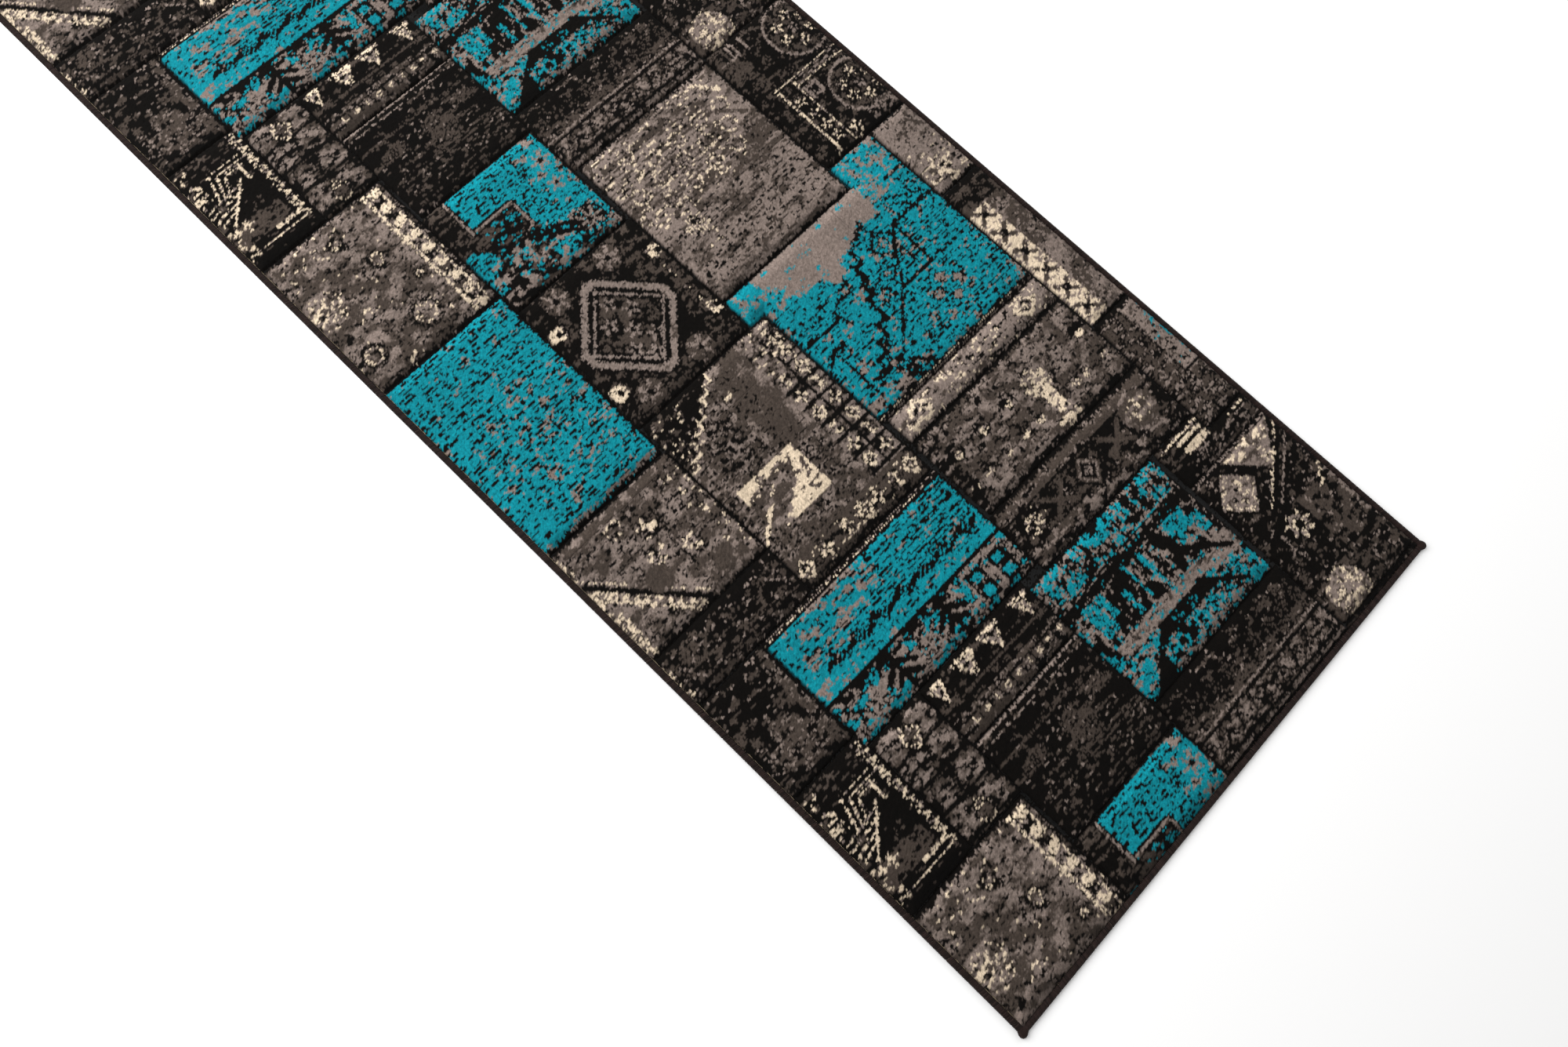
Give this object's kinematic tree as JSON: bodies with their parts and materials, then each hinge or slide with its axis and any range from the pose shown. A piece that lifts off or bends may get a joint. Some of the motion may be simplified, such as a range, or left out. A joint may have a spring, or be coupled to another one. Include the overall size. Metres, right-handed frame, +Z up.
{
  "type": "runner rug",
  "caption": "Long patchwork-patterned runner rug: cut pile woven into a ground weave, sized on the back, with corded and serged edges and locked corners.",
  "frame": {"origin": "on the floor, under the middle of the rug", "axes": "+X across the rug, +Y along it from the near end to the far end, +Z up out of the pile"},
  "size_m": [0.8056, 3.0056, 0.011],
  "materials": {
    "pile_yarn": "cut pile of black, taupe, mauve-grey, turquoise and cream yarn",
    "ground_yarn": "plain weave of cotton and jute yarn",
    "latex_sizing": "thin matte latex size on the back of the weave",
    "serging_yarn": "tightly wrapped dark brown-black yarn",
    "filler_cord": "twisted cotton cord"
  },
  "bodies": {
    "root": {"pile": "pile_yarn", "ground_weave": "ground_yarn", "back_sizing": "latex_sizing", "filler_cord_left": "filler_cord", "filler_cord_right": "filler_cord", "filler_cord_near": "filler_cord", "filler_cord_far": "filler_cord", "side_serging_left": "serging_yarn", "side_serging_right": "serging_yarn", "end_serging_near": "serging_yarn", "end_serging_far": "serging_yarn", "corner_lock_near_left": "serging_yarn", "corner_lock_near_right": "serging_yarn", "corner_lock_far_left": "serging_yarn", "corner_lock_far_right": "serging_yarn"}
  },
  "joints": []
}
